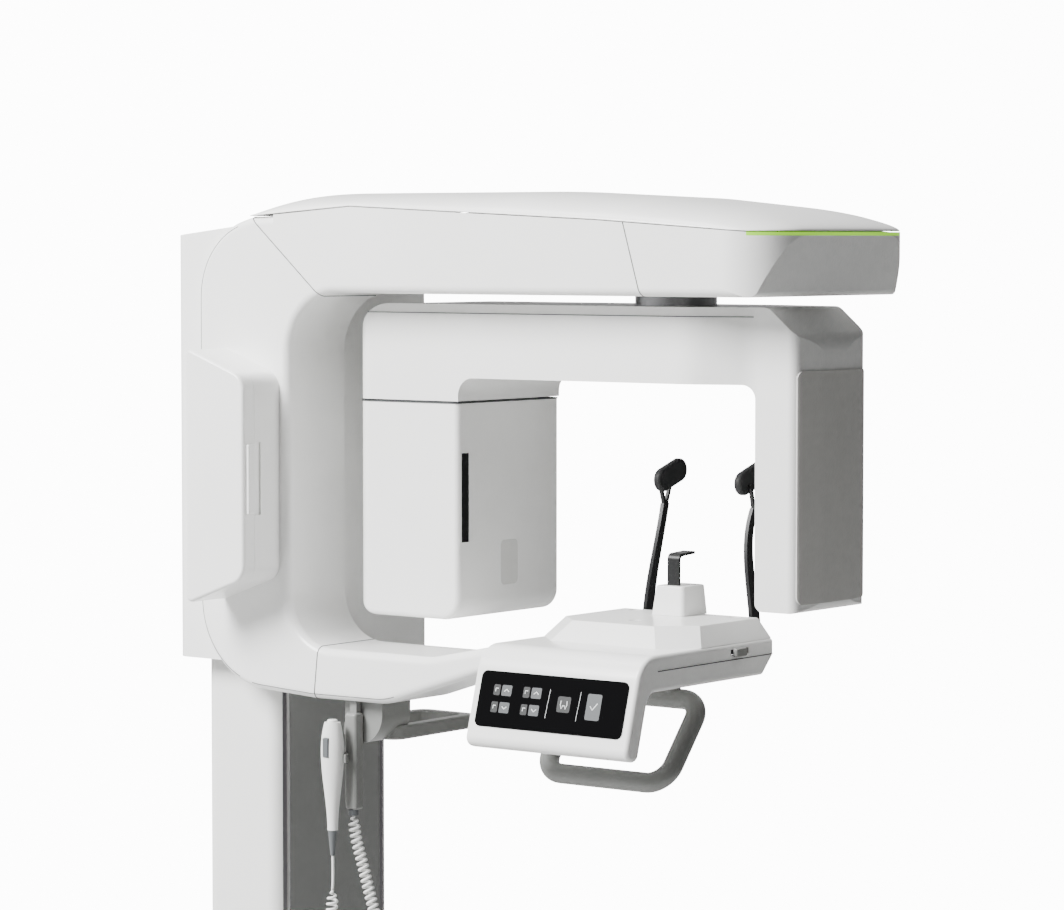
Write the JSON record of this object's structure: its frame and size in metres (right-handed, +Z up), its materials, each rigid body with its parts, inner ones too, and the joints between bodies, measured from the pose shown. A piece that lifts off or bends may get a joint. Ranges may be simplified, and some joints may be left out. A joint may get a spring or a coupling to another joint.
{
  "type": "panoramic x-ray machine",
  "caption": "Dental panoramic x-ray machine: a lifting C-shaped frame on a column, a rotating gantry, a chin table with console, grips and a corded hand switch.",
  "frame": {"origin": "on the floor, below the column's centre", "axes": "+X along the arms away from the column, +Y towards the standing patient, +Z up"},
  "size_m": [1.1578, 0.62, 1.948],
  "materials": {
    "white_cover": "injection moulded, semi-gloss white",
    "grey_enamel": "stove enamelled aluminium profile",
    "powder_coated_steel": "powder coated, satin",
    "ground_steel": "ground",
    "steel_plate": "primed plate",
    "aluminium": "milled",
    "black_plastic": "fine textured black",
    "black_rubber": "soft matt",
    "grey_plastic": "satin mid grey",
    "grey_rubber": "satin",
    "grey_panel": "satin light grey film",
    "dark_window": "smoked, polished",
    "black_glass": "printed cover glass",
    "pale_plastic": "moulded",
    "pale_cord": "flexible sheath",
    "green_light": "lit diffuser"
  },
  "bodies": {
    "column": {"base_plate": "powder_coated_steel", "column_shell": "grey_enamel", "guide_rails": "ground_steel", "actuator_motor": "black_plastic", "actuator_tube": "aluminium"},
    "carriage": {"actuator_rod": "ground_steel", "carriage_plate": "steel_plate", "slider_blocks": "ground_steel", "lift_bridge": "steel_plate", "rear_casing": "white_cover", "c_frame_cover": "white_cover", "lower_arm_cover": "white_cover", "upper_arm_shell": "white_cover", "arm_end_cap": "white_cover", "light_strip": "green_light", "arm_lid": "white_cover", "arm_chassis": "steel_plate", "stage_rails": "ground_steel", "table_tray": "white_cover", "table_cover": "white_cover", "console_shell": "white_cover", "touch_panel": "black_glass", "chin_plate": "white_cover", "grip_loop": "grey_plastic", "side_grip": "grey_plastic", "grip_housing": "grey_plastic", "storage_housing": "white_cover", "hinge_pins": "ground_steel", "hand_switch": "pale_plastic", "strain_relief": "grey_rubber", "switch_holder": "grey_plastic", "cord_lead": "pale_cord", "cord_coil": "pale_cord", "cord_socket": "grey_rubber"},
    "shift_stage": {"stage_plate": "aluminium", "bearing_ring": "ground_steel", "drive_motor": "black_plastic", "drive_belt": "black_rubber"},
    "pulley": {"motor_pulley": "aluminium"},
    "gantry": {"gantry_frame": "aluminium", "gantry_pulley": "aluminium", "generator_cover": "white_cover", "gantry_beam_shell": "white_cover", "gantry_lid": "white_cover", "sensor_housing": "white_cover", "scan_windows": "dark_window", "sensor_cover_panel": "grey_panel", "image_sensor": "black_plastic", "tube_head": "steel_plate", "collimator": "steel_plate"},
    "chin_support": {"chin_rest": "white_cover"},
    "bite_block": {"bite_piece": "black_plastic"},
    "left_temple": {"temple_support_left": "black_plastic", "temple_pad_left": "black_rubber"},
    "right_temple": {"temple_support_right": "black_plastic", "temple_pad_right": "black_rubber"},
    "width_lever": {"temple_lever": "grey_plastic"},
    "door": {"storage_door": "white_cover"},
    "button": {"exposure_button": "pale_plastic"},
    "rocker": {"lift_rocker": "grey_plastic"}
  },
  "joints": [
    {"name": "column_lift", "type": "slide", "parent": "column", "child": "carriage", "axis": [0, 0, 1], "range_m": [-0.2, 0.2]},
    {"name": "centre_shift", "type": "slide", "parent": "carriage", "child": "shift_stage", "axis": [0, 1, 0], "range_m": [-0.02, 0.02]},
    {"name": "gantry_turn", "type": "hinge", "parent": "shift_stage", "child": "gantry", "pos_m": [0.708, 0, 1.8], "axis": [0, 0, 1], "range_deg": [-205, 20]},
    {"name": "motor_pulley_spin", "type": "hinge", "parent": "shift_stage", "child": "pulley", "pos_m": [0.708, 0.13, 1.81], "axis": [0, 0, 1], "range_deg": [-1231, 121]},
    {"name": "left_temple_swing", "type": "hinge", "parent": "carriage", "child": "left_temple", "pos_m": [0.614, 0.05, 1.304], "axis": [0, 1, 0], "range_deg": [-3, 7]},
    {"name": "right_temple_swing", "type": "hinge", "parent": "carriage", "child": "right_temple", "pos_m": [0.802, 0.05, 1.304], "axis": [0, 1, 0], "range_deg": [-7, 3]},
    {"name": "width_lever_slide", "type": "slide", "parent": "carriage", "child": "width_lever", "axis": [0, 1, 0], "range_m": [-0.0076, 0.0177]},
    {"name": "chin_rest_lift", "type": "slide", "parent": "carriage", "child": "chin_support", "axis": [0, 0, 1], "range_m": [0, 0.06]},
    {"name": "bite_piece_lift", "type": "slide", "parent": "chin_support", "child": "bite_block", "axis": [0, 0, 1], "range_m": [0, 0.045]},
    {"name": "door_hinge", "type": "hinge", "parent": "carriage", "child": "door", "pos_m": [0.011, -0.2455, 1.53], "axis": [0, 0, -1], "range_deg": [0, 95]},
    {"name": "exposure_press", "type": "slide", "parent": "carriage", "child": "button", "axis": [0, 0, -1], "range_m": [0, 0.003], "stiffness_N_per_m": 300, "springref_m": -0.002},
    {"name": "rocker_tilt", "type": "hinge", "parent": "carriage", "child": "rocker", "pos_m": [0.243, -0.219, 1.144], "axis": [1, 0, 0], "range_deg": [-4, 4], "stiffness_Nm_per_rad": 0.2}
  ],
  "couplings": [
    {"joint": "motor_pulley_spin", "follows": "gantry_turn", "ratio": 6},
    {"joint": "right_temple_swing", "follows": "left_temple_swing", "ratio": -1},
    {"joint": "width_lever_slide", "follows": "left_temple_swing", "m_per_rad": 0.145}
  ]
}
